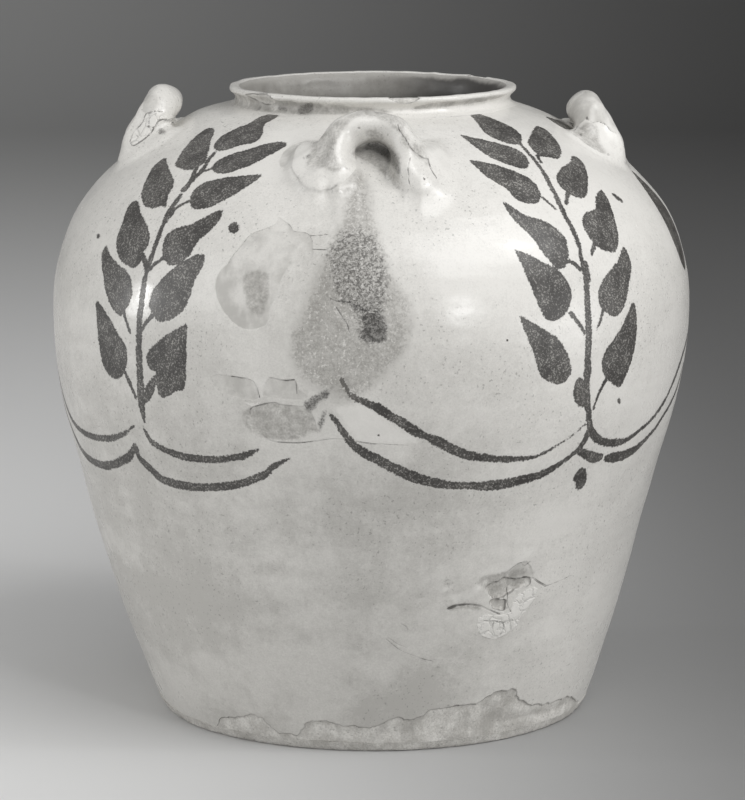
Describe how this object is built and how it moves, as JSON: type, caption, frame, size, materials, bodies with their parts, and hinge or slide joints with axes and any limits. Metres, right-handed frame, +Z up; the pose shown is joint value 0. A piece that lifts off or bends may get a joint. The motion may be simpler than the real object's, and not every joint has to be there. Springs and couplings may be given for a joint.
{
  "type": "storage jar",
  "caption": "Round-bellied glazed earthenware storage jar with a low everted neck, a flat foot and loop handles round the shoulder, painted with leaf sprays and swags.",
  "frame": {"origin": "centre of the underside, on the surface that the jar stands on", "axes": "+Z up along the jar's axis through the mouth, -Y out over the front handle, +X out over the right handle"},
  "size_m": [0.3452, 0.3452, 0.34],
  "materials": {
    "cream_glaze": "glossy off-white glaze over slip, finely crackled, with dark brushwork and worn patches",
    "bare_clay": "unglazed fired clay, matt and sandy"
  },
  "bodies": {
    "root": {"base_slab": "bare_clay", "lower_wall": "cream_glaze", "upper_wall": "cream_glaze", "neck_ring": "cream_glaze", "front_handle": "cream_glaze", "front_handle_left_lump": "cream_glaze", "front_handle_right_lump": "cream_glaze", "right_handle": "cream_glaze", "right_handle_left_lump": "cream_glaze", "right_handle_right_lump": "cream_glaze", "back_handle": "cream_glaze", "back_handle_left_lump": "cream_glaze", "back_handle_right_lump": "cream_glaze", "left_handle": "cream_glaze", "left_handle_left_lump": "cream_glaze", "left_handle_right_lump": "cream_glaze"}
  },
  "joints": []
}
